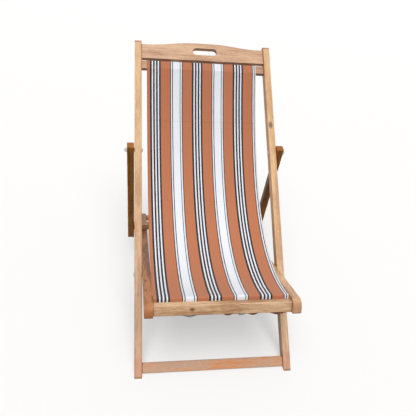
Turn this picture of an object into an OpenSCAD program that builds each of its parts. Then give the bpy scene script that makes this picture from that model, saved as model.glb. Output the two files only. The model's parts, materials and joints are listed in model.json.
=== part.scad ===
// Folding wooden sling chair: a back frame, a seat frame and a rear prop that
// fold flat about two pairs of bolts, with a canvas sling hung between two rails.
// Millimetres, +Z up, the sitter faces -Y. The origin is on the floor, under the
// middle of the whole chair's box.

/* [Back frame] */
// Width over the two stiles
frame_w = 580; // [578:1:620]
// Width of a stile, seen from the front
stile_w = 28; // [24:1:29]
// Depth of a stile, from its front face to its rear face
stile_d = 36; // [32:1:42]
// Length of a stile from the front of its foot to its top
stile_l = 1346; // [1320:1:1400]
// Slope of the stiles above the floor, in degrees
back_angle = 45.1; // [44:0.1:47]
// Height of the crown rail at its ends
crown_h = 64; // [56:1:72]
// Rise of the crown rail's top edge from its ends to its middle
crown_rise = 16.5; // [8:0.5:20]
// Thickness of the crown rail and of both sling rails
thin_t = 20; // [18:1:22]
// Distance of the crown rail's ends below the stile tops
crown_drop = 14; // [6:1:30]
// Length of the handhold slot
handhold_l = 104; // [80:1:110]
// Height of the handhold slot
handhold_h = 31; // [26:1:34]
// Sideways place of the handhold slot's middle
handhold_x = 6; // [-15:1:15]
// Height of a sling rail, top or seat
sling_rail_h = 36; // [30:1:40]
// Gap between the crown rail and the top sling rail
crown_gap = 10; // [6:1:16]
// Height of the foot rail
foot_rail_h = 36; // [30:1:44]

/* [Seat frame] */
// Distance of the seat pivot up the stile
seat_pivot_up = 370; // [360:1:380]
// Length of a seat rail behind the seat pivot
rail_rear_l = 767; // [755:1:775]
// Length of a seat rail in front of the seat pivot
rail_front_l = 305; // [290:1:308]
// Depth of a seat rail
rail_d = 50; // [46:1:52]
// Thickness of a seat rail
rail_t = 29; // [26:1:30]
// Height of the front rail
front_rail_h = 37; // [32:1:40]
// Thickness of the front rail
front_rail_t = 28; // [24:1:30]
// Distance between two notches
notch_pitch = 95; // [85:1:100]
// Depth of a notch
notch_depth = 10; // [8:0.5:11]

/* [Prop] */
// Distance of the prop pivot up the stile
prop_pivot_up = 865; // [860:1:870]
// Slope of the prop arms below the horizontal, in degrees
prop_angle = 75.3; // [75:0.1:75.6]
// Length of a prop arm
arm_l = 555; // [545:1:560]
// Depth of a prop arm
arm_d = 32; // [30:1:34]
// Thickness of a prop arm
arm_t = 28; // [24:1:30]
// Distance from the prop pivot to the middle of the prop bar
bar_reach = 460.5; // [459:0.5:462]
// Height of the prop bar, along the arms
bar_h = 34; // [32:1:35]
// Thickness of the prop bar, across the arms
bar_t = 22; // [20:1:22]

/* [Sling] */
// Width of the canvas
sling_w = 456; // [440:1:458]
// Sideways place of the canvas's middle
sling_x = -2; // [-2:1:2]
// Thickness of the canvas solid
sling_t = 1.6; // [1.2:0.2:2]
// Size of the curve that the canvas hangs in: smaller hangs deeper
sling_hang = 465; // [440:5:520]

/* [Hardware] */
// Diameter of the pivot bolts
bolt_d = 8; // [7:0.5:9]
// Number of tacks along each sling rail
tack_count = 9; // [7:2:11]

/* [Hidden] */
$fn = 64;

// Fits
run_fit = 0.05;          // radial clearance of a bolt in a bore
tenon_fit = 0.1;         // clearance round a tenon
face_gap = 0.3;          // gap between faces that slide past each other
eps = 1;                 // how far a cutter runs past a face

// Edges and joinery
edge_r = 2.5;            // rounding along a batten
stile_top_r = 9;         // rounding of a stile's top, front and rear
tenon_l = 14;            // length of a blind tenon
tenon_shoulder = 4;      // wood left round a tenon

// Back frame, measured up the stile (s) and out from its front face (o)
stile_in = frame_w / 2 - stile_w;
crown_inset = 8;
crown_top = stile_l - crown_drop;
crown_low = crown_top - crown_h;
crown_plateau = 40;      // half width of the crown's level middle
crown_shoulder = 230;    // where the crown's curve starts, from the middle
crown_steps = 24;
handhold_low = crown_low + 27;
top_rail_inset = 12;
top_rail_high = crown_low - crown_gap;
top_rail_low = top_rail_high - sling_rail_h;
foot_rail_low = 16;
foot_rail_t = 24;
foot_rail_clear = 2;     // its underside is planed level, this far above the floor
foot_tenon_up = 12;      // its tenons start this far above its lower edge
stile_mid = -stile_d / 2;
stile_over = 60;         // drawn past the foot, for the floor to cut off

// Seat frame, measured back from its pivot (Y) and up from its centre line (Z)
rail_out = stile_in - 2;
rail_in = rail_out - rail_t;
rail_top = rail_d / 2;
toe_cut = 1.5;           // how much the floor cuts off a seat rail's rear corner
rail_front_r = 28;       // rounding of a seat rail's front end, top
rail_under_r = 9;        // rounding of a seat rail's front end, underneath
rail_rear_r = 3;
front_rail_back = 14;    // front rail's face behind the seat rails' front ends
front_rail_up = 2;       // front rail's underside above the seat rails' underside
seat_sling_gap = 6;      // between the front rail and the seat's sling rail
seat_sling_up = 13.5;    // seat's sling rail above the seat rails' underside
rear_rail_h = 25;
rear_rail_t = 24;
rear_rail_in = 10;       // from the seat rails' rear ends
rear_rail_drop = 5;      // below the seat rails' top edges
notch_count = 3;
notch_len = 58;          // along the rail's top edge
notch_front = 8;         // length of a notch's front slope
notch_first = 400.5;     // front notch's rear lip, behind the pivot

// Pivots, in the chair's own frame before it is centred
pivot_y = seat_pivot_up * cos(back_angle) - stile_mid * sin(back_angle);
pivot_z = seat_pivot_up * sin(back_angle) + stile_mid * cos(back_angle);
prop_y = prop_pivot_up * cos(back_angle) - stile_mid * sin(back_angle);
prop_z = prop_pivot_up * sin(back_angle) + stile_mid * cos(back_angle);

// The seat rails slope so that their rear ends stand on the floor
seat_angle = asin((pivot_z + toe_cut) / norm([rail_rear_l, rail_top])) - atan2(rail_top, rail_rear_l);

// Front and rear ends of the whole chair, which the origin lies midway between
function reach(length, height, r) = (length - r) * cos(seat_angle) + (height - r) * sin(seat_angle) + r;
front_y = pivot_y - max(reach(rail_front_l, -rail_top + 2 * rail_front_r, rail_front_r),
                        reach(rail_front_l, rail_top, rail_under_r));
rear_y = pivot_y + reach(rail_rear_l, rail_top, rail_rear_r);
shift_y = -(front_y + rear_y) / 2;

// Prop
arm_in = frame_w / 2 + 2;
arm_out = arm_in + arm_t;
arm_above = 27;          // length of an arm above its pivot
arm_end_r = 5;

// Fasteners
bore_d = bolt_d + 2 * run_fit;
head_d = 18;
head_h = 4.5;
head_rim = 1.2;          // straight edge below a bolt head's dome
nut_w = 13;
nut_h = 6.5;
cap_d = 12;              // domed end of a nut
cap_h = 3.5;
washer_d = 18;
washer_t = 1.6;
tack_head_d = 9;
tack_head_h = 2.2;
tack_shank_d = 1.8;
tack_l = 9;
tack_root = 0.5;         // how far a tack's shank runs into its head
tack_edge = 22;          // end tacks in from the canvas's edges

seat_front_y = -(rail_front_l - front_rail_back);          // front rail's front face
seat_sling_y = seat_front_y + front_rail_t + seat_sling_gap; // seat sling rail's front face
seat_sling_z = -rail_top + seat_sling_up;                   // seat sling rail's underside
sling_loop = 33;         // slack of the canvas below the seat's sling rail
hem_in = 8;              // canvas's ends, in from the edge of a sling rail's rear face
half_t = sling_t / 2;
canvas_gap = 0.05;       // between the canvas and the rails it is wrapped round
wrap = canvas_gap + half_t; // from a rail's face to the canvas's middle layer
top_front = -top_rail_inset + wrap;         // canvas's middle layer at the top rail
top_back = -top_rail_inset - thin_t - wrap;
split_y = 300;           // where the two canvas solids part, behind the stile feet
split_gap = 14;
sling_step = 30;         // between two points of the hanging curve, along Y

// ---- places of the three frames ----
module back_frame() { translate([0, shift_y, 0]) rotate([back_angle, 0, 0]) children(); }
module seat_frame() {
    translate([0, shift_y + pivot_y, pivot_z]) rotate([-seat_angle, 0, 0]) children();
}
module prop_frame() {
    translate([0, shift_y + prop_y, prop_z]) rotate([-prop_angle, 0, 0]) children();
}
// A point of the back frame or the seat frame as [y, z] of the whole chair
function back_point(s, o) = [shift_y + s * cos(back_angle) - o * sin(back_angle),
                             s * sin(back_angle) + o * cos(back_angle)];
function seat_point(y, z) = [shift_y + pivot_y + y * cos(seat_angle) + z * sin(seat_angle),
                             pivot_z - y * sin(seat_angle) + z * cos(seat_angle)];

// ---- shapes that repeat ----
// Rectangle with rounded corners, from its low corner
module round_rect(w, h, r) {
    translate([r, 0]) square([w - 2 * r, h]);
    translate([0, r]) square([w, h - 2 * r]);
    for (x = [r, w - r], y = [r, h - r]) translate([x, y]) circle(r);
}
// Batten with rounded edges, from x0 to x1
module cross_batten(x0, x1, y0, z0, depth, height)
    translate([x0, y0, z0]) rotate([90, 0, 90]) linear_extrude(x1 - x0) round_rect(depth, height, edge_r);
// Batten with rounded edges that runs along Y
module long_batten(x0, y0, y1, z0, width, height)
    translate([x0, y1, z0]) rotate([90, 0, 0]) linear_extrude(y1 - y0) round_rect(width, height, edge_r);
// Outline in the Y-Z plane, thickened from x0 to x1
module side_plate(x0, x1) { translate([x0, 0, 0]) rotate([90, 0, 90]) linear_extrude(x1 - x0) children(); }
// Rounds off one corner of an outline; sy and sz point out of the corner
module corner_cut(y, z, sy, sz, r) {
    translate([y - sy * r, z - sz * r]) scale([sy, sz]) difference() {
        square([r + eps, r + eps]);
        circle(r);
    }
}
// Box from one corner to the other
module block(low, high) { translate(low) cube(high - low); }
// Everything under a level near the floor, as far as the chair reaches
module underground(level = 0) { block([-frame_w, -stile_l, -stile_l], [frame_w, stile_l, level]); }
// Tenon, or with a fit the mortise for it
module tenon(x0, x1, y0, z0, depth, height, fit = 0) {
    in = tenon_shoulder - fit;
    block([x0 - fit, y0 + in, z0 + in], [x1 + fit, y0 + depth - in, z0 + height - in]);
}
// The two tenons of a cross rail between two side pieces
module end_tenons(half, y0, z0, depth, height, length = tenon_l)
    for (x = [-half - length, half - eps]) tenon(x, x + length + eps, y0, z0, depth, height);
module tenoned_rail(half, y0, z0, depth, height, length = tenon_l) {
    cross_batten(-half, half, y0, z0, depth, height);
    end_tenons(half, y0, z0, depth, height, length);
}
// Mortise for such a rail, in the right-hand side piece whose inner face is at x0
module mortise(x0, y0, z0, depth, height)
    tenon(x0 - eps, x0 + tenon_l, y0, z0, depth, height, tenon_fit);
// Bore along X through everything between two X values
module bore(x0, x1) { translate([x0, 0, 0]) rotate([0, 90, 0]) cylinder(h = x1 - x0, d = bore_d); }
// Drawn along +X from 0: dome head, then a plain shank
module bolt(shank) rotate([0, 90, 0]) {
    cylinder(h = shank, d = bolt_d);
    translate([0, 0, -head_rim]) {
        cylinder(h = head_rim, d = head_d);
        rotate_extrude() dome_outline(head_d / 2, head_h - head_rim);
    }
}
// Half section of a dome that bulges towards -Z from radius r, with height h
module dome_outline(r, h) {
    ball = (r * r + h * h) / (2 * h);
    intersection() {
        translate([0, ball - h]) circle(ball);
        translate([0, -h]) square([r, h]);
    }
}
// Nut with a domed cap, drawn along +X from 0
module cap_nut() {
    rotate([0, 90, 0]) difference() {
        union() {
            cylinder(h = nut_h, d = nut_w / cos(30), $fn = 6);
            translate([0, 0, nut_h]) rotate([180, 0, 0]) rotate_extrude() dome_outline(cap_d / 2, cap_h);
        }
        translate([0, 0, -eps]) cylinder(h = nut_h + eps, d = bore_d);
    }
}
module washer(t) rotate([0, 90, 0]) difference() {
    cylinder(h = t, d = washer_d);
    translate([0, 0, -eps]) cylinder(h = t + 2 * eps, d = bore_d);
}
// Tacks in a row along X, driven towards +Z, heads below z = 0
module tack_row() { for (x = tack_places()) translate([x, 0, 0]) tack(); }
function tack_places() = let (half = sling_w / 2 - tack_edge, step = 2 * half / (tack_count - 1))
    [for (i = [0 : tack_count - 1]) sling_x - half + i * step];
module tack() {
    rotate_extrude() dome_outline(tack_head_d / 2, tack_head_h);
    translate([0, 0, -tack_root]) cylinder(h = tack_l + tack_root, d = tack_shank_d, $fn = 24);
}
module tack_holes() {
    for (x = tack_places()) translate([x, 0, -eps])
        cylinder(h = tack_l + 2 * eps, d = tack_shank_d + 2 * run_fit, $fn = 24);
}

// Left or right (side is -1 or 1): mirrors what is drawn for the right-hand side
module on_side(side) { if (side > 0) children(); else mirror([1, 0, 0]) children(); }

// ---- back frame ----
module stile(side) color([0.87, 0.72, 0.54]) difference() {
    back_frame() on_side(side) difference() {
        intersection() {
            long_batten(stile_in, -stile_over, stile_l, -stile_d, stile_w, stile_d);
            side_plate(stile_in - eps, frame_w / 2 + eps) difference() {
                translate([-stile_over, -stile_d]) square([stile_l + stile_over, stile_d]);
                corner_cut(stile_l, 0, 1, 1, stile_top_r);
                corner_cut(stile_l, -stile_d, 1, -1, stile_top_r);
            }
        }
        mortise(stile_in, crown_low, -crown_inset - thin_t, crown_h, thin_t);
        mortise(stile_in, top_rail_low, -top_rail_inset - thin_t, sling_rail_h, thin_t);
        mortise(stile_in, foot_rail_low + foot_tenon_up, -crown_inset - foot_rail_t,
                foot_rail_h - foot_tenon_up, foot_rail_t);
        for (s = [seat_pivot_up, prop_pivot_up])
            translate([0, s, stile_mid]) bore(stile_in - eps, frame_w / 2 + eps);
    }
    underground();
}
// Height of the crown's top edge above its ends, at x
function crown_curve(x) = let (t = (crown_shoulder - abs(x)) / (crown_shoulder - crown_plateau))
    crown_rise * (1 - cos(180 * min(1, max(0, t)))) / 2;
module crown_rail() color([0.80, 0.65, 0.50]) back_frame() {
    top_points = [for (i = [0 : 2 * crown_steps])
        let (x = crown_shoulder * (i / crown_steps - 1)) [x, crown_top + crown_curve(x)]];
    translate([0, 0, -crown_inset - thin_t]) linear_extrude(thin_t) difference() {
        polygon(concat([[-stile_in, crown_low], [-stile_in, crown_top]], top_points,
                       [[stile_in, crown_top], [stile_in, crown_low]]));
        translate([handhold_x, handhold_low + handhold_h / 2]) stadium(handhold_l, handhold_h);
    }
    end_tenons(stile_in, crown_low, -crown_inset - thin_t, crown_h, thin_t);
}
// Slot with round ends, centred
module stadium(l, h) {
    square([l - h, h], center = true);
    for (x = [-1, 1]) translate([x * (l - h) / 2, 0]) circle(d = h);
}
module top_sling_rail() color([0.82, 0.67, 0.52]) back_frame() difference() {
    tenoned_rail(stile_in, top_rail_low, -top_rail_inset - thin_t, sling_rail_h, thin_t);
    translate([0, top_rail_low + sling_rail_h / 2, -top_rail_inset - thin_t]) tack_holes();
}
module foot_rail() color([0.72, 0.55, 0.44]) {
    o = -crown_inset - foot_rail_t;
    difference() {
        back_frame() cross_batten(-stile_in, stile_in, foot_rail_low, o, foot_rail_h, foot_rail_t);
        underground(foot_rail_clear);
    }
    back_frame() end_tenons(stile_in, foot_rail_low + foot_tenon_up, o,
                            foot_rail_h - foot_tenon_up, foot_rail_t);
}
module top_sling_tacks() color([0.55, 0.50, 0.42]) back_frame()
    translate([0, top_rail_low + sling_rail_h / 2, top_back - half_t]) tack_row();

// ---- pivots ----
module at_seat_pivot(side) back_frame() translate([0, seat_pivot_up, stile_mid]) on_side(side) children();
module at_prop_pivot(side) back_frame() translate([0, prop_pivot_up, stile_mid]) on_side(side) children();
nut_seat_x = rail_in - face_gap - washer_t;   // nut's face, inside a seat rail
nut_prop_x = arm_out + face_gap + washer_t;   // nut's face, outside an arm
module seat_bolt(side) color("silver") at_seat_pivot(side)
    translate([frame_w / 2, 0, 0]) mirror([1, 0, 0]) bolt(frame_w / 2 - nut_seat_x + nut_h);
module prop_bolt(side) color("silver") at_prop_pivot(side)
    translate([stile_in, 0, 0]) bolt(nut_prop_x + nut_h - stile_in);
module seat_nut(side) color("silver") at_seat_pivot(side)
    translate([nut_seat_x, 0, 0]) mirror([1, 0, 0]) cap_nut();
module prop_nut(side) color("silver") at_prop_pivot(side) translate([nut_prop_x, 0, 0]) cap_nut();
module seat_washers(side) color("gainsboro") at_seat_pivot(side) {
    translate([nut_seat_x, 0, 0]) washer(washer_t);
    translate([stile_in - washer_t, 0, 0]) washer(washer_t);
}
module prop_washers(side) color("gainsboro") at_prop_pivot(side) {
    translate([frame_w / 2, 0, 0]) washer(arm_in - face_gap - frame_w / 2);
    translate([nut_prop_x - washer_t, 0, 0]) washer(washer_t);
}

// ---- seat frame ----
notch_rise = 90 - (prop_angle - seat_angle);  // slope of a notch's rear side: square to the arms
module notch_outline(y) {
    ramp = notch_depth / tan(notch_rise);
    translate([y, rail_top]) polygon([[0, 0], [-ramp, -notch_depth], [notch_front - notch_len, -notch_depth],
                                      [-notch_len, 0], [-notch_len, eps], [0, eps]]);
}
module seat_rail(side) color([0.74, 0.57, 0.41]) difference() {
    seat_frame() on_side(side) difference() {
        intersection() {
            long_batten(rail_in, -rail_front_l, rail_rear_l, -rail_top, rail_t, rail_d);
            side_plate(rail_in - eps, rail_out + eps) difference() {
                translate([-rail_front_l, -rail_top]) square([rail_front_l + rail_rear_l, rail_d]);
                corner_cut(-rail_front_l, rail_top, -1, 1, rail_front_r);
                corner_cut(-rail_front_l, -rail_top, -1, -1, rail_under_r);
                corner_cut(rail_rear_l, rail_top, 1, 1, rail_rear_r);
                for (i = [0 : notch_count - 1]) notch_outline(notch_first + i * notch_pitch);
            }
        }
        bore(rail_in - eps, rail_out + eps);
        mortise(rail_in, seat_front_y, -rail_top + front_rail_up, front_rail_t, front_rail_h);
        mortise(rail_in, seat_sling_y, seat_sling_z, thin_t, sling_rail_h);
        mortise(rail_in, rail_rear_l - rear_rail_in - rear_rail_t,
                rail_top - rear_rail_drop - rear_rail_h, rear_rail_t, rear_rail_h);
    }
    underground();
}
module front_rail() color([0.75, 0.58, 0.42]) seat_frame()
    tenoned_rail(rail_in, seat_front_y, -rail_top + front_rail_up, front_rail_t, front_rail_h);
module seat_sling_rail() color([0.70, 0.54, 0.40]) seat_frame() difference() {
    tenoned_rail(rail_in, seat_sling_y, seat_sling_z, thin_t, sling_rail_h);
    translate([0, seat_sling_y + thin_t, seat_sling_z + sling_rail_h / 2]) rotate([90, 0, 0]) tack_holes();
}
module rear_rail() color([0.68, 0.52, 0.38]) seat_frame()
    tenoned_rail(rail_in, rail_rear_l - rear_rail_in - rear_rail_t, rail_top - rear_rail_drop - rear_rail_h,
                 rear_rail_t, rear_rail_h);
module seat_sling_tacks() color([0.55, 0.50, 0.42]) seat_frame()
    translate([0, seat_sling_y + thin_t + wrap + half_t, seat_sling_z + sling_rail_h / 2])
        rotate([90, 0, 0]) tack_row();

// ---- prop ----
module prop_arm(side) color([0.80, 0.62, 0.45]) prop_frame() on_side(side) difference() {
    intersection() {
        long_batten(arm_in, -arm_above, arm_l - arm_above, -arm_d / 2, arm_t, arm_d);
        side_plate(arm_in - eps, arm_out + eps) difference() {
            translate([-arm_above, -arm_d / 2]) square([arm_l, arm_d]);
            for (sy = [-1, 1], sz = [-1, 1])
                corner_cut(sy > 0 ? arm_l - arm_above : -arm_above, sz * arm_d / 2, sy, sz, arm_end_r);
        }
    }
    bore(arm_in - eps, arm_out + eps);
    tenon(arm_in - eps, arm_out + eps, bar_reach - bar_h / 2, -bar_t / 2, bar_h, bar_t, tenon_fit);
}
module prop_bar() color([0.78, 0.60, 0.45]) prop_frame()
    tenoned_rail(arm_in, bar_reach - bar_h / 2, -bar_t / 2, bar_h, bar_t, arm_t);

// ---- sling ----
function unit(v) = v / norm(v);
function left_of(v) = [-v[1], v[0]];
// Outward offset at point i of a path, mitred at its corners
function mitre(p, i) = let (n = len(p) - 1,
        a = left_of(unit(p[max(1, i)] - p[max(1, i) - 1])),
        b = left_of(unit(p[min(n, i + 1)] - p[min(n, i + 1) - 1])))
    (a + b) / (1 + a * b);
// Strip of canvas of even thickness along a path, as wide as the sling
module strip(p) {
    n = len(p) - 1;
    side_plate(sling_x - sling_w / 2, sling_x + sling_w / 2)
        polygon(concat([for (i = [0 : n]) p[i] + half_t * mitre(p, i)],
                       [for (i = [n : -1 : 0]) p[i] - half_t * mitre(p, i)]));
}
// Canvas's own middle layer hangs in a catenary from where it leaves the top rail
// to where it meets the seat's sling rail
leave = back_point(top_rail_low, top_front);
meet = seat_point(seat_sling_y + thin_t, seat_sling_z + sling_rail_h + wrap);
function sinh(t) = (exp(t) - exp(-t)) / 2;
function cosh(t) = (exp(t) + exp(-t)) / 2;
function asinh(t) = ln(t + sqrt(t * t + 1));
half_span = (leave[0] - meet[0]) / 2;
half_rise = (leave[1] - meet[1]) / 2;
low_y = meet[0] + half_span - sling_hang * asinh(half_rise / sling_hang / sinh(half_span / sling_hang));
low_z = meet[1] - sling_hang * cosh((meet[0] - low_y) / sling_hang);
// Points of the curve from one Y to a smaller one, both ends included
function hanging(from, to) = let (n = ceil((from - to) / sling_step))
    [for (i = [0 : n]) let (y = from + (to - from) * i / n)
        [y, low_z + sling_hang * cosh((y - low_y) / sling_hang)]];
module sling_back() color([0.76, 0.48, 0.35]) difference() {
    strip(concat([back_point(top_rail_low + hem_in, top_back),
                  back_point(top_rail_high + wrap, top_back),
                  back_point(top_rail_high + wrap, top_front)],
                 hanging(leave[0], shift_y + split_y + split_gap)));
    back_frame() translate([0, top_rail_low + sling_rail_h / 2, top_back - half_t]) tack_holes();
}
module sling_seat() color([0.76, 0.48, 0.35]) {
    loop_z = seat_sling_z - sling_loop;
    front = seat_sling_y - wrap;
    rear = seat_sling_y + thin_t + wrap;
    difference() {
        strip(concat(
            hanging(shift_y + split_y, meet[0]),
            [seat_point(front, seat_sling_z + sling_rail_h + wrap), seat_point(front, loop_z),
             seat_point(rear, loop_z), seat_point(rear, seat_sling_z + sling_rail_h - hem_in)]));
        seat_frame() translate([0, rear + half_t, seat_sling_z + sling_rail_h / 2])
            rotate([90, 0, 0]) tack_holes();
    }
}

stile(-1);  // stile_left
stile(1);  // stile_right
crown_rail();
top_sling_rail();
foot_rail();
sling_back();
top_sling_tacks();
seat_bolt(-1);  // seat_bolt_left
seat_bolt(1);  // seat_bolt_right
seat_nut(-1);  // seat_nut_left
seat_nut(1);  // seat_nut_right
seat_washers(-1);  // seat_washers_left
seat_washers(1);  // seat_washers_right
prop_bolt(-1);  // prop_bolt_left
prop_bolt(1);  // prop_bolt_right
prop_nut(-1);  // prop_nut_left
prop_nut(1);  // prop_nut_right
prop_washers(-1);  // prop_washers_left
prop_washers(1);  // prop_washers_right
seat_rail(-1);  // seat_rail_left
seat_rail(1);  // seat_rail_right
front_rail();
seat_sling_rail();
rear_rail();
sling_seat();
seat_sling_tacks();
prop_arm(-1);  // prop_arm_left
prop_arm(1);  // prop_arm_right
prop_bar();
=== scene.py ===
import json
from math import asinh, cos, cosh, exp, hypot, pi, radians, sin, sinh

import bpy
from mathutils import Matrix, Vector


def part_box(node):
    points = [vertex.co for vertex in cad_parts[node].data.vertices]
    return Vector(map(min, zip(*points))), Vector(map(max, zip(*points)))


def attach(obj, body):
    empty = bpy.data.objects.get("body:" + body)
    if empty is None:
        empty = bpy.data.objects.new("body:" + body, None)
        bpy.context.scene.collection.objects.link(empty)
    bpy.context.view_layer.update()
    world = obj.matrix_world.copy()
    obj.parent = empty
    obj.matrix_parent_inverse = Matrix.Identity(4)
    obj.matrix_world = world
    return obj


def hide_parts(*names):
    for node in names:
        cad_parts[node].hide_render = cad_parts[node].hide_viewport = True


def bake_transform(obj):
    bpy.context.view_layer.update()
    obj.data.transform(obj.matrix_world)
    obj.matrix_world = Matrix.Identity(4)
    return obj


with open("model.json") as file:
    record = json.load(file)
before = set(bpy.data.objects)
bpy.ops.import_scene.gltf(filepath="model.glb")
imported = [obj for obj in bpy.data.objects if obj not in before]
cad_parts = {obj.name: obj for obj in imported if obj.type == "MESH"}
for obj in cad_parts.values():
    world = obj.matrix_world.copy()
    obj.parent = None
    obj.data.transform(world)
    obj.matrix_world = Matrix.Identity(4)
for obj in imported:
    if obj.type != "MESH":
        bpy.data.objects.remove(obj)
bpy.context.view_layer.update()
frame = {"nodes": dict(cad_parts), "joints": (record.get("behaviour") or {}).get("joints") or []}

nodes = frame["nodes"]
MM = 0.001
SIDES = ("left", "right")

# ---------------------------------------------------------------- the chair's three frames
BACK_TILT = radians(45.1)      # slope of the stiles
SEAT_TILT = radians(17.215)    # slope of the seat rails, down towards the rear
PROP_TILT = radians(75.3)      # slope of the prop arms, down towards the rear
PIVOT_UP = 370                 # the seat pivot's place on a stile: up from its foot,
PIVOT_IN = -18                 # and out from its front face
pivot = {joint["name"]: joint["pos_m"] for joint in frame["joints"]}
PIVOT_Y, PIVOT_Z = pivot["seat_fold"][1], pivot["seat_fold"][2]


def back_point(up, out):
    """The chair's (y, z) of a place in mm up the stiles and out from their front faces."""
    up, out = (up - PIVOT_UP) * MM, (out - PIVOT_IN) * MM
    return (PIVOT_Y + up * cos(BACK_TILT) - out * sin(BACK_TILT),
            PIVOT_Z + up * sin(BACK_TILT) + out * cos(BACK_TILT))


def seat_point(y, z):
    """The chair's (y, z) of a place in mm behind and above the seat pivot, along the seat rails."""
    y, z = y * MM, z * MM
    return (PIVOT_Y + y * cos(SEAT_TILT) + z * sin(SEAT_TILT),
            PIVOT_Z - y * sin(SEAT_TILT) + z * cos(SEAT_TILT))


# ---------------------------------------------------------------- camera
CAMERA_AT = (-0.29009, -1.59111, 1.40857)
CAMERA_YAW, CAMERA_PITCH, CAMERA_ROLL = 0.18418, -0.55407, 0.0996
CAMERA_LENS, CAMERA_SENSOR = 40.35, 36


def make_camera():
    ahead = Vector((sin(CAMERA_YAW) * cos(CAMERA_PITCH), cos(CAMERA_YAW) * cos(CAMERA_PITCH),
                    sin(CAMERA_PITCH)))
    level = Vector((cos(CAMERA_YAW), -sin(CAMERA_YAW), 0))
    up = level.cross(ahead)
    across = level * cos(CAMERA_ROLL) + up * sin(CAMERA_ROLL)
    upright = up * cos(CAMERA_ROLL) - level * sin(CAMERA_ROLL)
    data = bpy.data.cameras.new("camera")
    data.lens, data.sensor_width = CAMERA_LENS, CAMERA_SENSOR
    camera = bpy.data.objects.new("camera", data)
    bpy.context.scene.collection.objects.link(camera)
    turn = Matrix((across, upright, -ahead)).transposed().to_4x4()
    camera.matrix_world = Matrix.Translation(CAMERA_AT) @ turn
    bpy.context.scene.camera = camera


# ---------------------------------------------------------------- helpers
class Graph:
    """A node tree that is written as nested calls."""

    def __init__(self, owner):
        owner.use_nodes = True
        self.tree = owner.node_tree
        self.tree.nodes.clear()

    def node(self, kind, inputs=(), **settings):
        made = self.tree.nodes.new(kind)
        for key, value in settings.items():
            setattr(made, key, value)
        for key, value in dict(inputs).items():
            if isinstance(value, bpy.types.NodeSocket):
                self.tree.links.new(value, made.inputs[key])
            else:
                made.inputs[key].default_value = value
        return made

    def place(self):
        """A spot's place in the chair's frame, in metres."""
        return self.node("ShaderNodeTexCoord").outputs["Object"]

    def math(self, operation, *values):
        return self.node("ShaderNodeMath", enumerate(values), operation=operation).outputs[0]

    def vector(self, operation, *values):
        made = self.node("ShaderNodeVectorMath", enumerate(values), operation=operation)
        return made.outputs[1 if operation in ("LENGTH", "DOT_PRODUCT") else 0]

    def add(self, *values):
        total = values[0]
        for value in values[1:]:
            total = self.math("ADD", total, value)
        return total

    def times(self, a, b):
        return self.math("MULTIPLY", a, b)

    def most(self, a, b):
        return self.math("MAXIMUM", a, b)

    def absolute(self, value):
        return self.math("ABSOLUTE", value)

    def remap(self, value, low, high, to_low=0.0, to_high=1.0, smooth=False):
        return self.node("ShaderNodeMapRange", {0: value, 1: low, 2: high, 3: to_low, 4: to_high},
                         interpolation_type="SMOOTHSTEP" if smooth else "LINEAR").outputs[0]

    def noise(self, place, scale=1.0, detail=2.0, rough=0.5):
        return self.node("ShaderNodeTexNoise", {"Vector": place, "Scale": scale, "Detail": detail,
                                                "Roughness": rough}).outputs[0]

    def streaks(self, place, along, across, detail=2.0, rough=0.5):
        """Noise that changes about along times a metre in X, and across times in Y and Z."""
        return self.noise(self.stretch(place, along, across, across), detail=detail, rough=rough)

    def centred(self, value):
        return self.add(value, -0.5)

    def stretch(self, place, *scale):
        return self.vector("MULTIPLY", place, scale)

    def split(self, place):
        return self.node("ShaderNodeSeparateXYZ", {0: place}).outputs

    def join(self, x, y, z):
        return self.node("ShaderNodeCombineXYZ", {0: x, 1: y, 2: z}).outputs[0]

    def mix(self, share, a, b, blend="MIX"):
        return self.node("ShaderNodeMix", {0: share, 6: a, 7: b}, data_type="RGBA",
                         blend_type=blend).outputs[2]

    def filtered(self, shade, tint):
        return self.mix(1.0, shade, tint, "MULTIPLY")

    def grey(self, value):
        return self.join(value, value, value)

    def ramp(self, value, stops, steps="LINEAR"):
        made = self.node("ShaderNodeValToRGB", {0: value})
        bands = made.color_ramp
        bands.interpolation = steps
        for place, _ in stops[1:-1]:
            bands.elements.new(place)
        for element, (place, shade) in zip(bands.elements, stops):
            element.position, element.color = place, shade
        return made.outputs[0]

    def bump(self, height, depth, strength=1.0):
        return self.node("ShaderNodeBump", {"Height": height, "Distance": depth,
                                            "Strength": strength}).outputs[0]

    def surface(self, sockets):
        shader = self.node("ShaderNodeBsdfPrincipled", sockets)
        self.node("ShaderNodeOutputMaterial", {0: shader.outputs[0]})


def new_material(name):
    material = bpy.data.materials.new(name)
    return material, Graph(material)


def dress(names, material):
    """Gives the CAD nodes their material."""
    for name in names:
        slots = nodes[name].data.materials
        slots.clear()
        slots.append(material)


def mesh_object(name, points, faces, material, smooth=False):
    mesh = bpy.data.meshes.new(name)
    mesh.from_pydata(points, [], faces, shade_flat=not smooth)
    mesh.update()
    mesh.materials.append(material)
    made = bpy.data.objects.new(name, mesh)
    bpy.context.scene.collection.objects.link(made)
    return made


def colour(red, green, blue):
    """Linear colour of an sRGB one given in 0 to 255."""
    def linear(level):
        level /= 255
        return level / 12.92 if level < 0.04045 else ((level + 0.055) / 1.055) ** 2.4
    return linear(red), linear(green), linear(blue), 1.0


def grey_paint(level):
    return level, level, level, 1.0


def darker(paint, share):
    return tuple(part * share for part in paint[:3]) + (1.0,)


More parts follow.
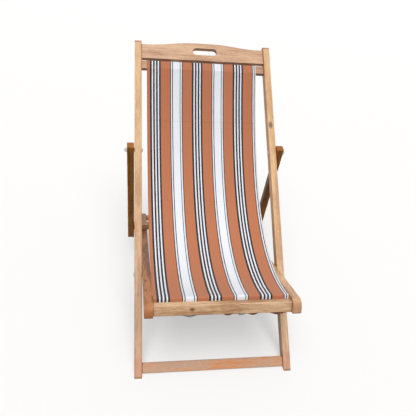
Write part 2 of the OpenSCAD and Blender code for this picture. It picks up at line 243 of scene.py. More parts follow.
# ---------------------------------------------------------------- light, floor and backdrop
# Lamps: name, where the light comes from, power, spread and whether it casts shadows.
# The fill lies level, so it adds nothing to the floor.
LAMPS = [("key", (-0.06, -0.42, 0.90), 2.75, radians(45), True),
         ("fill_behind", (0.25, 0.90, 0.02), 0.85, radians(60), False)]
LAMP_COLOUR = (1.0, 0.985, 0.965)
SKY_ABOVE = grey_paint(0.30)
SKY_BELOW = (0.1155, 0.11, 0.1012, 1.0)
HORIZON = (-0.15, 0.25)        # the sky turns from one to the other between these heights
FLOOR_SIZE = 60.0
FLOOR_GLOW = 0.42              # keeps the floor pale under the chair
BACKDROP_GLOW = 0.97
BACKDROP_RINGS, BACKDROP_SIDES = 12, 48
BACKDROP_SINK = 0.01           # the dome's rim, below the floor


def make_lamps():
    for name, origin, power, spread, shadow in LAMPS:
        data = bpy.data.lights.new(name, "SUN")
        data.energy, data.angle, data.use_shadow, data.color = power, spread, shadow, LAMP_COLOUR
        lamp = bpy.data.objects.new(name, data)
        lamp.rotation_euler = Vector(origin).to_track_quat("Z", "Y").to_euler()
        bpy.context.scene.collection.objects.link(lamp)


def make_sky():
    world = bpy.data.worlds.new("studio")
    bpy.context.scene.world = world
    g = Graph(world)
    height = g.split(g.node("ShaderNodeTexCoord").outputs["Generated"])[2]
    level = g.mix(g.remap(height, *HORIZON, smooth=True), SKY_BELOW, SKY_ABOVE)
    sky = g.node("ShaderNodeBackground", {0: level})
    g.node("ShaderNodeOutputWorld", {0: sky.outputs[0]})


def make_floor():
    material, g = new_material("floor_pale")
    rough = g.remap(g.noise(g.place(), 3.0), 0.3, 0.7, 0.80, 0.90)
    g.surface({"Base Color": grey_paint(0.50), "Specular IOR Level": 0.1, "Roughness": rough,
               "Emission Color": grey_paint(1), "Emission Strength": FLOOR_GLOW})
    half = FLOOR_SIZE / 2
    corners = [(-half, -half, 0), (half, -half, 0), (half, half, 0), (-half, half, 0)]
    return mesh_object("floor", corners, [(0, 1, 2, 3)], material)


def make_backdrop():
    """A pale dome behind the floor, for the views that look over its edge."""
    material, g = new_material("backdrop_pale")
    glow = g.node("ShaderNodeEmission", {0: grey_paint(BACKDROP_GLOW)})
    g.node("ShaderNodeOutputMaterial", {0: glow.outputs[0]})
    radius = FLOOR_SIZE / 2
    points, faces = [], []
    for ring in range(BACKDROP_RINGS + 1):
        climb = pi / 2 * ring / BACKDROP_RINGS
        for side in range(BACKDROP_SIDES):
            turn = 2 * pi * side / BACKDROP_SIDES
            points.append((radius * cos(climb) * cos(turn), radius * cos(climb) * sin(turn),
                           radius * sin(climb) - BACKDROP_SINK))
    for ring in range(BACKDROP_RINGS):
        for side in range(BACKDROP_SIDES):
            a, b = (ring * BACKDROP_SIDES + s % BACKDROP_SIDES for s in (side, side + 1))
            faces.append((a, b, b + BACKDROP_SIDES, a + BACKDROP_SIDES))
    dome = mesh_object("backdrop", points, faces, material)
    dome.visible_shadow = False
    return dome


make_camera()
make_lamps()
make_sky()
for scenery in (make_floor(), make_backdrop()):
    scenery.visible_diffuse = False     # the chair is lit by the lamps and the sky alone
bpy.context.scene.view_settings.view_transform = "Standard"

# ---------------------------------------------------------------- wood
RING_PITCH = 0.0042            # between two growth rings
RING_DRIFT, RING_SWIRL, RING_RIPPLE = 0.040, 0.007, 0.006      # how far the rings wander, in metres
KNOT_PUSH = 1.3                # how far a knot pushes them aside, in its radii
KNOT_RINGS = 2.6
BARK = [(0.0, colour(132, 76, 44)), (0.6, colour(92, 48, 28)), (1.0, colour(58, 30, 18))]
# What each pattern adds to the tone, from light to dark
RING_TONE, PATCH_TONE, CLOUD_TONE, STREAK_TONE, FLECK_TONE, BASE_TONE = 0.40, 1.8, 1.5, 1.3, 0.9, 0.34
BLUSH = (0.96, 0.80, 0.76, 1.0)
END_GRAIN = (colour(188, 108, 56), colour(144, 80, 42))
END_TINT = 0.45
EDGE_RADIUS = 0.0035           # of the edges that handling has worn
EDGE_BROWN, EDGE_TINT = colour(172, 108, 62), 0.28
SEAM_W = 0.0025                # the dark line where a cross piece meets a long one: painted shade of the joint's gap, with some dirt
SEAM_SHADE_AND_DIRT, SEAM_SHADE_AND_DIRT_TINT = colour(74, 44, 26), 0.7
LOW_FROM, LOW_TO = 0.62, 0.05  # heights between which a stile turns to its low tint
TOP_BAND, TOP_TINT = 0.011, 0.8
FOOT_STAIN, FOOT_RED = 0.055, colour(188, 122, 96)
SOLE_EDGE, SOLE_BROWN, SOLE_TINT = 0.004, colour(116, 78, 34), 0.7


def growth(g, spot, grain, pith, wave, figure, knots):
    """Late wood, from 0 to 1, in growth rings round an off-centre pith that wanders along the piece, and
    how far into a knot a place lies, from 0 to the knot's strength."""
    along, across, through = spot
    drift = g.centred(g.streaks(grain, 1.7 * wave, 2.0, 3.0))
    swirl = g.centred(g.streaks(grain, 9.0 * wave, 30.0, 3.0))
    ring_y = g.add(across, -pith[0], g.times(drift, RING_DRIFT * figure))
    ring_z = g.add(through, -pith[1], g.times(swirl, RING_SWIRL * figure))
    radius = g.vector("LENGTH", g.join(0.0, ring_y, ring_z))
    heart = 0.0
    for place, size, longer, strength in knots:
        away = g.vector("SUBTRACT", g.join(along, across, through), place)
        reach = g.vector("LENGTH", g.stretch(away, 1 / (size * longer), 1 / size, 1 / size))
        near = g.math("EXPONENT", g.times(g.times(reach, reach), -0.35))
        radius = g.add(radius, g.times(near, size * KNOT_PUSH))
        heart = g.most(heart, g.remap(reach, 1.35, 0.45, 0.0, strength, smooth=True))
    rings = g.math("FRACT", g.math("DIVIDE", g.add(radius, g.times(swirl, RING_RIPPLE)), RING_PITCH))
    late = g.ramp(rings, [(0.0, grey_paint(0.1)), (0.55, grey_paint(0.3)), (0.86, grey_paint(0.9)),
                          (1.0, grey_paint(0.15))])
    return late, heart


def wood(node, tilt, lengthwise, palette, seed, pith=(-0.05, -0.09), wave=1.0, figure=1.0, knots=(),
         blush=0.35, low_tint=None, shine=0.42, shoulder=0.0):
    """Gives a CAD node oiled hardwood whose grain runs along it.

    tilt is the slope of the node's frame, and lengthwise whether the grain follows it instead of X.
    palette is (light, middle, dark), and low_tint the (light, dark) that a stile turns to near the floor.
    pith is (across, through) from the piece's middle. A knot is its place from there (along, across,
    through), its radius, how much longer than wide it is, and its strength. shoulder is how far from the
    middle a cross piece enters the long ones."""
    material, g = new_material("wood_" + node)
    light, middle, dark = palette
    turn_back = Matrix.Rotation(-tilt, 3, "X")
    corners = [turn_back @ v.co for v in nodes[node].data.vertices]
    low, high = ([pick(c[i] for c in corners) for i in range(3)] for pick in (min, max))
    place = g.place()
    height = g.split(place)[2]
    framed = g.node("ShaderNodeMapping", {"Vector": place, "Rotation": (-tilt, 0, 0)}).outputs[0]
    x, y, through = [g.add(value, -(a + b) / 2) for value, a, b in zip(g.split(framed), low, high)]
    along, across = (y, x) if lengthwise else (x, y)
    grain = g.join(g.add(along, seed), g.add(across, seed * 0.37), through)
    late, heart = growth(g, (along, across, through), grain, pith, wave, figure, knots)

    # Broad patches, streaks, flecks, fibres and pores, each longer than it is wide
    patch = g.centred(g.streaks(grain, 2.4, 16.0, 3.0, 0.55))
    cloud = g.streaks(grain, 7.0, 34.0, 4.0, 0.6)
    streak = g.centred(g.streaks(grain, 6.0, 240.0, 3.0, 0.6))
    fleck = g.centred(g.streaks(grain, 55.0, 260.0))
    fibre = g.streaks(grain, 36.0, 1500.0)
    pores = g.remap(g.streaks(grain, 70.0, 1900.0, 1.0), 0.60, 0.70)
    tone = g.add(g.times(late, RING_TONE * figure), g.times(g.centred(cloud), CLOUD_TONE * figure),
                 g.times(streak, STREAK_TONE), g.times(patch, PATCH_TONE * figure),
                 g.times(fleck, FLECK_TONE), BASE_TONE)
    shade = g.ramp(tone, [(0.06, light), (0.45, middle), (0.95, dark)])
    warmth = g.remap(g.streaks(grain, 3.3, 21.0), 0.46, 0.66, smooth=True)
    shade = g.mix(g.times(warmth, blush), shade, g.filtered(shade, BLUSH))
    shade = g.mix(g.remap(fibre, 0.3, 0.7, 0.0, 0.22), shade, darker(dark, 0.62))
    shade = g.mix(g.times(pores, 0.35), shade, darker(dark, 0.40))
    if low_tint:
        share = g.times(g.remap(height, LOW_FROM, LOW_TO, smooth=True), g.remap(cloud, 0.30, 0.62, 0.35, 1.0))
        shade = g.mix(share, shade, g.mix(g.remap(tone, 0.15, 0.75), *low_tint))
    if knots:
        shade = g.mix(heart, shade, g.ramp(g.math("FRACT", g.times(heart, KNOT_RINGS)), BARK))

    # Darker end grain, with a band below a stile's top, a foot that the floor has stained red, and a dark
    # brown band along its last few millimetres
    turned = g.node("ShaderNodeTexCoord").outputs["Normal"]
    axis = (0, cos(tilt), sin(tilt)) if lengthwise else (1, 0, 0)
    cut = g.remap(g.absolute(g.vector("DOT_PRODUCT", turned, axis)), 0.45, 0.85, smooth=True)
    stain = g.times(cut, END_TINT)
    if low_tint:
        tip = (high[1] - low[1]) / 2
        band = g.remap(along, tip - TOP_BAND * 1.2, tip - TOP_BAND * 0.8, smooth=True)
        stain = g.most(stain, g.times(band, TOP_TINT))
        foot = g.remap(height, FOOT_STAIN * 1.2, FOOT_STAIN * 0.7, smooth=True)
        shade = g.mix(g.times(foot, g.remap(cloud, 0.35, 0.60, 0.25, 0.75)), shade, FOOT_RED)
        # darker brown in the last few millimetres above the floor
        shade = g.mix(g.remap(height, SOLE_EDGE * 1.4, SOLE_EDGE * 0.6, 0.0, SOLE_TINT), shade, SOLE_BROWN)
    shade = g.mix(stain, shade, g.mix(g.remap(fibre, 0.35, 0.65), *END_GRAIN))

    # Edges that handling has polished to a warmer brown, and dark seams of painted shade and dirt
    normal = g.node("ShaderNodeNewGeometry").outputs["Normal"]
    rounded = g.node("ShaderNodeBevel", {"Radius": EDGE_RADIUS}, samples=4).outputs[0]
    edge = g.times(g.remap(g.vector("DOT_PRODUCT", normal, rounded), 0.995, 0.90),
                   g.remap(cloud, 0.35, 0.60, 0.3, 1.0))
    shade = g.mix(g.times(edge, EDGE_TINT), shade, EDGE_BROWN)
    if shoulder:
        # painted shade, with some dirt, in the joint where a cross piece enters the long ones
        seam_shade_and_dirt = g.remap(g.absolute(along), shoulder - SEAM_W, shoulder - SEAM_W * 0.5)
        shade = g.mix(g.times(seam_shade_and_dirt, SEAM_SHADE_AND_DIRT_TINT), shade, SEAM_SHADE_AND_DIRT)

    scuffs = g.remap(g.streaks(grain, 30.0, 90.0, 5.0, 0.7), 0.62, 0.75)
    gloss = g.add(0.44, g.times(late, 0.10), g.times(pores, 0.15), g.times(scuffs, 0.18), g.times(cut, 0.15))
    relief = g.add(g.times(late, 0.30), g.times(fibre, 0.35), g.times(pores, -0.60), g.times(heart, -0.6),
                   g.times(scuffs, -0.30))
    g.surface({"Base Color": shade, "Roughness": gloss, "Specular IOR Level": shine, "Coat Weight": 0.08,
               "Coat Roughness": 0.35, "Normal": g.bump(relief, 0.00022, 0.7)})
    dress([node], material)


# Light, middle and dark of each kind
GOLDEN = (colour(232, 194, 142), colour(217, 174, 122), colour(189, 137, 86))
SEAT_TAN = (colour(232, 194, 152), colour(216, 172, 130), colour(172, 124, 84))
SEAT_DEEP = (colour(196, 134, 82), colour(172, 110, 60), colour(134, 80, 40))
FRONT_TAN = (colour(238, 204, 164), colour(222, 182, 142), colour(177, 131, 92))
ROSY = (colour(219, 178, 140), colour(203, 159, 123), colour(167, 117, 81))
ROSY_DEEP = (colour(198, 152, 117), colour(181, 135, 101), colour(148, 99, 68))
RUSSET = (colour(186, 150, 126), colour(196, 156, 128), colour(206, 134, 74))
# Darker than the arms' wood itself: painted shade, for arm faces that turn down and forward, away from the
# key light
UMBER_PAINTED_SHADE = (colour(194, 129, 48), colour(152, 95, 26), colour(98, 58, 12))
LOW_TINT = (colour(208, 162, 130), colour(162, 124, 100))
LOW_PALE = (colour(226, 188, 154), colour(186, 144, 114))
LONG, CROSS = True, False
BACK_SEAM, SEAT_SEAM, PROP_SEAM = (abs(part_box(node)[1][0])
                                   for node in ("stile_left", "seat_rail_left", "prop_arm_left"))

wood("stile_left", BACK_TILT, LONG, GOLDEN, 1.3, pith=(0.10, -0.14), wave=0.5, figure=0.8, low_tint=LOW_TINT)
wood("stile_right", BACK_TILT, LONG, GOLDEN, 7.9, pith=(-0.12, -0.16), wave=0.6, figure=0.9,
     low_tint=LOW_PALE, knots=[((0.309, -0.002, 0.018), 0.0095, 1.7, 0.75)])
wood("crown_rail", BACK_TILT, CROSS, ROSY, 3.1, pith=(-0.11, -0.05), wave=0.8, shoulder=BACK_SEAM)
wood("top_sling_rail", BACK_TILT, CROSS, ROSY_DEEP, 4.7, shoulder=BACK_SEAM)
wood("foot_rail", BACK_TILT, CROSS, RUSSET, 11.2, pith=(-0.03, -0.06), wave=1.6, figure=1.9,
     shoulder=BACK_SEAM)
wood("seat_rail_left", -SEAT_TILT, LONG, SEAT_DEEP, 5.6, pith=(0.02, -0.07), wave=1.2, figure=1.2, blush=0.2,
     knots=[((-0.346, -0.0065, 0.025), 0.005, 2.6, 0.85), ((-0.426, -0.0065, 0.025), 0.004, 2.2, 0.85)])
wood("seat_rail_right", -SEAT_TILT, LONG, SEAT_TAN, 8.4, pith=(-0.03, -0.08))
wood("front_rail", -SEAT_TILT, CROSS, FRONT_TAN, 12.6, pith=(-0.02, -0.05), wave=1.8, figure=1.4,
     shoulder=SEAT_SEAM, knots=[((-0.105, -0.014, 0.0025), 0.0070, 1.3, 0.85)])
wood("seat_sling_rail", -SEAT_TILT, CROSS, SEAT_TAN, 6.2, shoulder=SEAT_SEAM)
wood("rear_rail", -SEAT_TILT, CROSS, SEAT_TAN, 9.5, shoulder=SEAT_SEAM)
# The prop arms carry painted shade in their darker palette
wood("prop_arm_left", -PROP_TILT, LONG, UMBER_PAINTED_SHADE, 2.2, pith=(0.05, -0.07), shine=0.15)
wood("prop_arm_right", -PROP_TILT, LONG, UMBER_PAINTED_SHADE, 10.3, pith=(-0.05, -0.07), shine=0.15)
wood("prop_bar", -PROP_TILT, CROSS, ROSY, 14.8, shoulder=PROP_SEAM)


# ---------------------------------------------------------------- steel
def metal(names, name, base, worn, rough):
    """Plated steel with turning marks, scratches and dull spots."""
    material, g = new_material(name)
    place = g.place()
    cloud = g.noise(place, 260.0, 4.0, 0.6)
    spots = g.remap(g.noise(place, 900.0), 0.56, 0.68)
    marks = g.streaks(place, 5200.0, 420.0)
    scratch = g.remap(g.noise(g.stretch(place, 700.0, 90.0, 2600.0), detail=3.0), 0.60, 0.66)
    shade = g.mix(g.remap(cloud, 0.35, 0.65), base, worn)
    shade = g.mix(g.times(spots, 0.35), shade, darker(worn, 0.45))
    gloss = g.add(rough, g.times(cloud, 0.16), g.times(spots, 0.20), g.times(marks, 0.08),
                  g.times(scratch, -0.10))
    relief = g.add(g.times(marks, 0.5), g.times(scratch, -0.8), g.times(spots, -0.4))
    g.surface({"Base Color": shade, "Metallic": 1.0, "Roughness": gloss,
               "Normal": g.bump(relief, 0.00006, 0.6)})
    dress(names, material)


JOINTS = ("seat", "prop")
metal([f"{joint}_{part}_{side}" for joint in JOINTS for part in ("bolt", "nut") for side in SIDES],
      "zinc_bright", (0.66, 0.67, 0.68, 1), (0.50, 0.51, 0.52, 1), 0.24)
metal([f"{joint}_washers_{side}" for joint in JOINTS for side in SIDES],
      "zinc_dull", (0.58, 0.59, 0.60, 1), (0.44, 0.45, 0.46, 1), 0.34)
metal(["top_sling_tacks", "seat_sling_tacks"],
      "tack_steel", (0.46, 0.40, 0.31, 1), (0.30, 0.25, 0.19, 1), 0.30)

# ---------------------------------------------------------------- canvas
# Stripes, from the selvedge on the left as the camera sees it: widths in mm, repeated across the cloth
MARGIN = 12.3
NARROW_DARK, NARROW_WHITE = 6.9, 5.55
PLAIN = 39.9
FINE_DARK, FINE_WHITE, LINE_DARK, BROAD_WHITE = 3.5, 5.2, 3.0, 29.0
TERRACOTTA, CHARCOAL, CHALK = colour(182, 114, 80), colour(46, 39, 45), colour(225, 230, 238)
CLUSTER = [(CHARCOAL, NARROW_DARK), (CHALK, NARROW_WHITE)] * 3 + [(CHARCOAL, NARROW_DARK)]
BROAD = [(CHARCOAL, FINE_DARK), (CHALK, FINE_WHITE), (CHARCOAL, LINE_DARK)]
REPEAT = (CLUSTER + [(TERRACOTTA, PLAIN)]
          + BROAD + [(CHALK, BROAD_WHITE)] + BROAD[::-1] + [(TERRACOTTA, PLAIN)])
REPEAT_W = sum(width for _, width in REPEAT)
WARP_PITCH, WEFT_PITCH = 0.00085, 0.00105
SELVEDGE_IN, SELVEDGE_OUT = 0.0030, 0.0024     # where the selvedge's cords begin, from the cloth's edge
SELVEDGE_CORDS = 0.0019

CLOTH_T = 1.3 * MM
# X of the selvedges, the left one at the top and at the front: the cloth hangs a little askew
LEFT_TOP, LEFT_FRONT, RIGHT = -0.2400, -0.2305, 0.2265
CLOTH_W = RIGHT - LEFT_TOP


def canvas_material(creases):
    """Striped canvas, on the cloth's flat coordinates. A crease is how far along it is, its half width and
    its strength."""
    material, g = new_material("canvas_striped")
    flat = g.node("ShaderNodeUVMap", uv_map="flat").outputs[0]
    u, v, _ = g.split(flat)
    ragged = g.times(g.centred(g.noise(g.stretch(flat, 900.0, 1100.0, 1.0), detail=1.0)), 0.0003)
    band = g.math("FRACT", g.math("DIVIDE", g.add(u, ragged, -MARGIN * MM), REPEAT_W * MM))
    stops, at = [], 0.0
    for yarn, width in REPEAT:
        stops.append((at / REPEAT_W, yarn))
        at += width
    shade = g.ramp(band, stops, "CONSTANT")

    # Plain weave with painted shade in its hollows, uneven yarns, creases with painted shade along them, fuzz
    # and cords in the selvedges
    weave = g.add(0.5, g.times(g.times(g.math("SINE", g.times(u, pi / WARP_PITCH)),
                                       g.math("SINE", g.times(v, pi / WEFT_PITCH))), 0.5))
    slub_warp = g.noise(g.stretch(flat, 1100.0, 26.0, 1.0))
    slub_weft = g.noise(g.stretch(flat, 20.0, 950.0, 1.0))
    mottle = g.noise(flat, 7.0, 5.0, 0.6)
    # the weave's share of the tone is painted light and shade, lighter on the raised crossings; slubs and
    # mottle are the yarns' own
    tone = g.add(0.84, g.times(weave, 0.10), g.times(slub_warp, 0.12), g.times(slub_weft, 0.10),
                 g.times(mottle, 0.10))
    crease_and_shade = 0.0
    for at, width, strength in creases:
        wander = g.times(g.centred(g.noise(g.stretch(flat, 14.0, 1.0, 1.0))), 0.0016)
        away = g.absolute(g.add(v, wander, -at))
        crease_and_shade = g.most(crease_and_shade, g.times(g.remap(away, width, 0.0, smooth=True), strength))
    # painted shade: the colour darkens by up to 16% along each crease, and in the weave's hollows
    shade = g.filtered(shade, g.grey(g.times(tone, g.add(1.0, g.times(crease_and_shade, -0.16)))))
    fuzz = g.remap(g.noise(flat, 2600.0), 0.58, 0.80)
    shade = g.mix(g.times(fuzz, 0.05), shade, (0.80, 0.77, 0.74, 1))
    selvedge = g.most(g.remap(u, SELVEDGE_IN, SELVEDGE_OUT),
                      g.remap(u, CLOTH_W - SELVEDGE_IN, CLOTH_W - SELVEDGE_OUT))
    shade = g.mix(g.times(selvedge, 0.25), shade, g.filtered(shade, (0.72, 0.70, 0.70, 1)))
    cords = g.times(selvedge, g.math("SINE", g.times(v, 2 * pi / SELVEDGE_CORDS)))
    relief = g.add(weave, g.times(slub_warp, 0.8), g.times(slub_weft, 0.7), g.times(cords, 0.5),
                   g.times(crease_and_shade, -1.5))
    g.surface({"Base Color": shade, "Roughness": g.remap(mottle, 0.3, 0.7, 0.86, 0.95),
               "Specular IOR Level": 0.25, "Sheen Weight": 0.12, "Sheen Roughness": 0.55,
               "Normal": g.bump(relief, 0.00025, 0.8)})
    return material


# ---- the sling's side outline, in mm in the frames of its two rails
LAYER = 0.85                   # the cloth's middle layer stands off a rail's face by this
ROUND = 2.5 + LAYER            # its radius round a rail's edge
TOP_RAIL_LOW, TOP_RAIL_HIGH = 1222, 1258
TOP_FRONT, TOP_REAR = -12 + LAYER, -32 - LAYER
SEAT_RAIL_LOW, SEAT_RAIL_HIGH = -11.5, 24.5
SEAT_FRONT, SEAT_REAR = -257 - LAYER, -237 + LAYER
HEM_IN = 8                     # the cloth's ends, in from the rails' edges
LOOP_Z = -41                   # lowest point of the slack loop under the seat's sling rail
LEAVE_TURN = 17.4              # degrees that the cloth turns round the top rail's lower front edge
SLING_CURVE = 0.465            # catenary constant of the hanging cloth, in metres
EDGE_ROWS = 6                  # rows of mesh round a rail's edge
SPAN_ROWS = 240                # and along the hanging cloth


def arc(centre, radius, start, end, count):
    """Points on an arc, angles in degrees; the first is left out."""
    turns = (radians(start + (end - start) * i / count) for i in range(1, count + 1))
    return [(centre[0] + radius * cos(turn), centre[1] + radius * sin(turn)) for turn in turns]


def line(start, end, count):
    """Points on a line; the first is left out."""
    return [(start[0] + (end[0] - start[0]) * i / count, start[1] + (end[1] - start[1]) * i / count)
            for i in range(1, count + 1)]


def hanging(start, end, count):
    """Catenary between two (y, z) points, both left out, even along its length."""
    a = SLING_CURVE
    half = (start[0] - end[0]) / 2
    rise = (start[1] - end[1]) / 2
    low_y = end[0] + half - a * asinh(rise / a / sinh(half / a))
    low_z = end[1] - a * cosh((end[0] - low_y) / a)
    start_slope, end_slope = sinh((start[0] - low_y) / a), sinh((end[0] - low_y) / a)
    points = []
    for i in range(1, count):
        y = low_y + a * asinh(start_slope + (end_slope - start_slope) * i / count)
        points.append((y, low_z + a * cosh((y - low_y) / a)))
    return points


def outline():
    """The sling from its top hem to its seat hem as (y, z) points, and its free span's first and last."""
    high = TOP_RAIL_HIGH + LAYER - ROUND
    low = TOP_RAIL_LOW - LAYER + ROUND
    top = [(TOP_RAIL_LOW + HEM_IN, TOP_REAR)]
    top += line(top[-1], (high, TOP_REAR), 6)
    top += arc((high, TOP_REAR + ROUND), ROUND, -90, 0, EDGE_ROWS)
    top += line(top[-1], (TOP_RAIL_HIGH + LAYER, TOP_FRONT - ROUND), 3)
    top += arc((high, TOP_FRONT - ROUND), ROUND, 0, 90, EDGE_ROWS)
    top += line(top[-1], (low, TOP_FRONT), 8)
    top += arc((low, TOP_FRONT - ROUND), ROUND, 90, 90 + LEAVE_TURN, 4)

    loop_r = (SEAT_REAR - SEAT_FRONT) / 2
    seat = [(SEAT_REAR - ROUND, SEAT_RAIL_HIGH + LAYER)]
    seat += line(seat[-1], (SEAT_FRONT + ROUND, SEAT_RAIL_HIGH + LAYER), 4)
    seat += arc((SEAT_FRONT + ROUND, SEAT_RAIL_HIGH + LAYER - ROUND), ROUND, 90, 180, EDGE_ROWS)
    seat += line(seat[-1], (SEAT_FRONT, LOOP_Z + loop_r), 14)
    seat += arc((SEAT_FRONT + loop_r, LOOP_Z + loop_r), loop_r, 180, 360, 2 * EDGE_ROWS)
    seat += line(seat[-1], (SEAT_REAR, SEAT_RAIL_HIGH - HEM_IN), 12)

    top = [back_point(*p) for p in top]
    seat = [seat_point(*p) for p in seat]
    span = hanging(top[-1], seat[0], SPAN_ROWS)
    return top + span + seat, len(top) - 1, len(top) + len(span)


# ---- its surface
COLUMNS = 96
SAG = 6 * MM                   # sets how far the selvedges stand above the catenary, and the middle below it
EDGE_RISE, MIDDLE_SINK, CUP = 1.55, 0.75, 2.2      # shares of SAG, and how sharply the cloth cups
SPREAD = 1.3                   # how the left selvedge's slant gathers towards the seat
RIPPLE, RIPPLE_SKEW = 0.5 * MM, 3.0
RIPPLES = [(0.9, 2.3, 0.4), (0.6, 4.1, 1.9), (0.4, 7.3, 0.8)]    # share, waves along the span, phase
# Where the slack loop droops: x in m, width in m, depth in mm
DROOPS = [(-0.1075, 0.030, 9.5), (0.023, 0.022, 8.0), (0.0685, 0.018, 8.5), (0.1095, 0.024, 9.5),
          (0.197, 0.036, 10.5)]


def droop(x):
    """How far the slack loop hangs below LOOP_Z at x, in metres."""
    return MM * sum(depth * exp(-2 * ((x - at) / width) ** 2) for at, width, depth in DROOPS)


def sling_rows(path, first, last):
    """A row of points across the cloth for each point of its outline."""
    rows = []
    for i, (y, z) in enumerate(path):
        a, b = path[max(0, i - 1)], path[min(len(path) - 1, i + 1)]
        step = hypot(b[0] - a[0], b[1] - a[1])
        out_y, out_z = (b[1] - a[1]) / step, (a[0] - b[0]) / step      # towards the sitter
        t = min(1.0, max(0.0, (i - first) / (last - first)))
        swell = sin(pi * t) ** 0.7 if 0 < t < 1 else 0.0
        left = LEFT_TOP + (LEFT_FRONT - LEFT_TOP) * t ** SPREAD
        row = []
        for j in range(COLUMNS + 1):
            x = left + (RIGHT - left) * j / COLUMNS
            side = 2 * j / COLUMNS - 1
            waves = sum(share * sin(wave * 2 * pi * t + phase + RIPPLE_SKEW * side)
                        for share, wave, phase in RIPPLES)
            cupped = SAG * (EDGE_RISE * abs(side) ** CUP - MIDDLE_SINK)
            off = swell * (cupped + RIPPLE * waves * abs(side) ** 3)
            at_y, at_z = y + out_y * off, z + out_z * off
            if i > last:
                above = (at_z - PIVOT_Z) * cos(SEAT_TILT) + (at_y - PIVOT_Y) * sin(SEAT_TILT)
                slack = (SEAT_RAIL_LOW * MM - above) / ((SEAT_RAIL_LOW - LOOP_Z) * MM)
                drop = droop(x) * min(1.0, max(0.0, slack))
                at_y, at_z = at_y - drop * sin(SEAT_TILT), at_z - drop * cos(SEAT_TILT)
            row.append(Vector((x, at_y, at_z)))
        rows.append(row)
    return rows


def make_sling(rows, lengths, material):
    """The cloth with its thickness, and its flat coordinates in metres as the UV map "flat"."""
    count, wide = len(rows), COLUMNS + 1
    points = []
    for half in (CLOTH_T / 2, -CLOTH_T / 2):
        for i in range(count):
            for j in range(wide):
                down = rows[min(count - 1, i + 1)][j] - rows[max(0, i - 1)][j]
                right = rows[i][min(COLUMNS, j + 1)] - rows[i][max(0, j - 1)]
                points.append(rows[i][j] - down.cross(right).normalized() * half)
    under = count * wide
    faces, flats = [], []

    def quad(corners):
        """A face through the points (layer, row, column)."""
        faces.append([layer * under + i * wide + j for layer, i, j in corners])
        flats.extend((j / COLUMNS * CLOTH_W, lengths[i]) for _, i, j in corners)

    for i in range(count - 1):
        for j in range(COLUMNS):
            ring = [(i, j), (i + 1, j), (i + 1, j + 1), (i, j + 1)]
            quad([(0, *p) for p in ring])
            quad([(1, *p) for p in ring[::-1]])
    border = [(i, 0) for i in range(count)] + [(count - 1, j) for j in range(1, wide)]
    border += [(i, COLUMNS) for i in range(count - 2, -1, -1)] + [(0, j) for j in range(COLUMNS - 1, 0, -1)]
    for p, q in zip(border, border[1:] + border[:1]):
        quad([(0, *q), (0, *p), (1, *p), (1, *q)])
    sling = mesh_object("sling", points, faces, material, smooth=True)
    layer = sling.data.uv_layers.new(name="flat")
    for loop, place in zip(layer.data, flats):
        loop.uv = place
    return sling


path, span_first, span_last = outline()
sling_lengths = [0.0]          # how far along the cloth each point of its outline is
for a, b in zip(path, path[1:]):
    sling_lengths.append(sling_lengths[-1] + hypot(b[0] - a[0], b[1] - a[1]))


def row_at(y):
    """The row of the hanging cloth that is nearest to y."""
    return min(range(span_first, span_last + 1), key=lambda i: abs(path[i][0] - y))


# Faint cross creases: y and half width in m, strength of the fold and of the shade painted along it
CREASES = [(0.265, 0.0022, 1.0), (0.250, 0.0018, 0.5), (0.030, 0.0024, 0.5)]
canvas = canvas_material([(sling_lengths[row_at(y)], width, strength) for y, width, strength in CREASES])
sling = make_sling(sling_rows(path, span_first, span_last), sling_lengths, canvas)
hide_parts("sling_back", "sling_seat")

# ---- stitching along the two hems, on the rails' rear faces
STITCH_L, STITCH_PITCH, STITCH_R = 3.0 * MM, 4.4 * MM, 0.42 * MM
STITCH_IN = 6 * MM             # the first stitch, in from the selvedge
STITCH_END = 2 * MM            # cloth left free beyond the last
STITCH_SINK = 0.75             # share of a stitch's radius that lies in the cloth
STITCH_SIDES, STITCH_RINGS = 6, 4
THREAD_TWIST = 0.0007


def thread_material():
    material, g = new_material("thread")
    place = g.place()
    x, _, z = g.split(place)
    twist = g.math("SINE", g.times(g.add(x, g.times(z, 0.7)), 2 * pi / THREAD_TWIST))
    cloud = g.noise(place, 300.0, 3.0)
    shade = g.mix(g.remap(cloud, 0.3, 0.7), colour(196, 186, 170), colour(226, 219, 206))
    # painted shade in the grooves between the thread's twisted turns
    shade = g.mix(g.remap(twist, -1.0, 0.0, 0.35, 0.0), shade, colour(140, 128, 112))
    g.surface({"Base Color": shade, "Roughness": g.remap(cloud, 0.3, 0.7, 0.60, 0.75), "Sheen Weight": 0.1,
               "Normal": g.bump(twist, 0.0001, 0.8)})
    return material


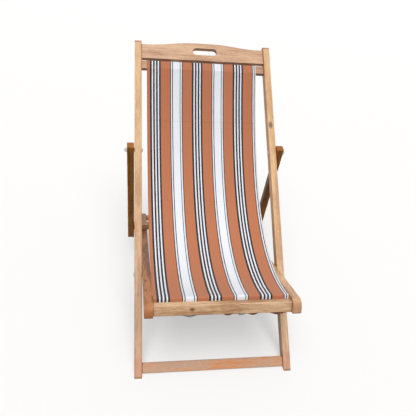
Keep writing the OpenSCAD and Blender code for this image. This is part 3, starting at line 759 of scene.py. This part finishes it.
def stitch_row(name, body, levels, left, material):
    """Rows of stitches along X. Each level is (y, z) of the cloth's face, with the way out of it."""
    points, faces = [], []
    count = int((RIGHT - left - STITCH_IN - STITCH_END) / STITCH_PITCH)
    for (y, z), (out_y, out_z) in levels:
        for k in range(count):
            middle = left + STITCH_IN + k * STITCH_PITCH
            start = len(points)
            for ring in range(STITCH_RINGS + 1):
                t = ring / STITCH_RINGS
                bulge = sin(pi * (0.08 + 0.84 * t))        # a little short of a point at each end
                for s in range(STITCH_SIDES):
                    turn = 2 * pi * s / STITCH_SIDES
                    lift = STITCH_R * (bulge * cos(turn) + bulge - STITCH_SINK)
                    aside = STITCH_R * bulge * sin(turn)
                    points.append((middle + (t - 0.5) * STITCH_L,
                                   y + out_y * lift - out_z * aside, z + out_z * lift + out_y * aside))
            for ring in range(STITCH_RINGS):
                for s in range(STITCH_SIDES):
                    a, b = (start + ring * STITCH_SIDES + side % STITCH_SIDES for side in (s, s + 1))
                    faces.append((a, b, b + STITCH_SIDES, a + STITCH_SIDES))
            first_ring = [start + s for s in range(STITCH_SIDES)]
            faces.append(first_ring[::-1])
            faces.append([corner + STITCH_RINGS * STITCH_SIDES for corner in first_ring])
    made = mesh_object(name, points, faces, material, smooth=True)
    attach(made, body)
    return made


thread = thread_material()
half_t = CLOTH_T / MM / 2
TOP_STITCHES, SEAT_STITCHES = (1233, 1250.5), (13.5, -1.5)     # up the stiles, and above the seat pivot
top_out, seat_out = (sin(BACK_TILT), -cos(BACK_TILT)), (cos(SEAT_TILT), -sin(SEAT_TILT))
top_levels = [(back_point(up, TOP_REAR - half_t), top_out) for up in TOP_STITCHES]
seat_levels = [(seat_point(SEAT_REAR + half_t, up), seat_out) for up in SEAT_STITCHES]
top_stitches = stitch_row("hem_stitches_top", "back_frame", top_levels, LEFT_TOP, thread)
seat_stitches = stitch_row("hem_stitches_seat", "seat_frame", seat_levels, LEFT_FRONT, thread)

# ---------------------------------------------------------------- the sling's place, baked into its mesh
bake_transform(sling)
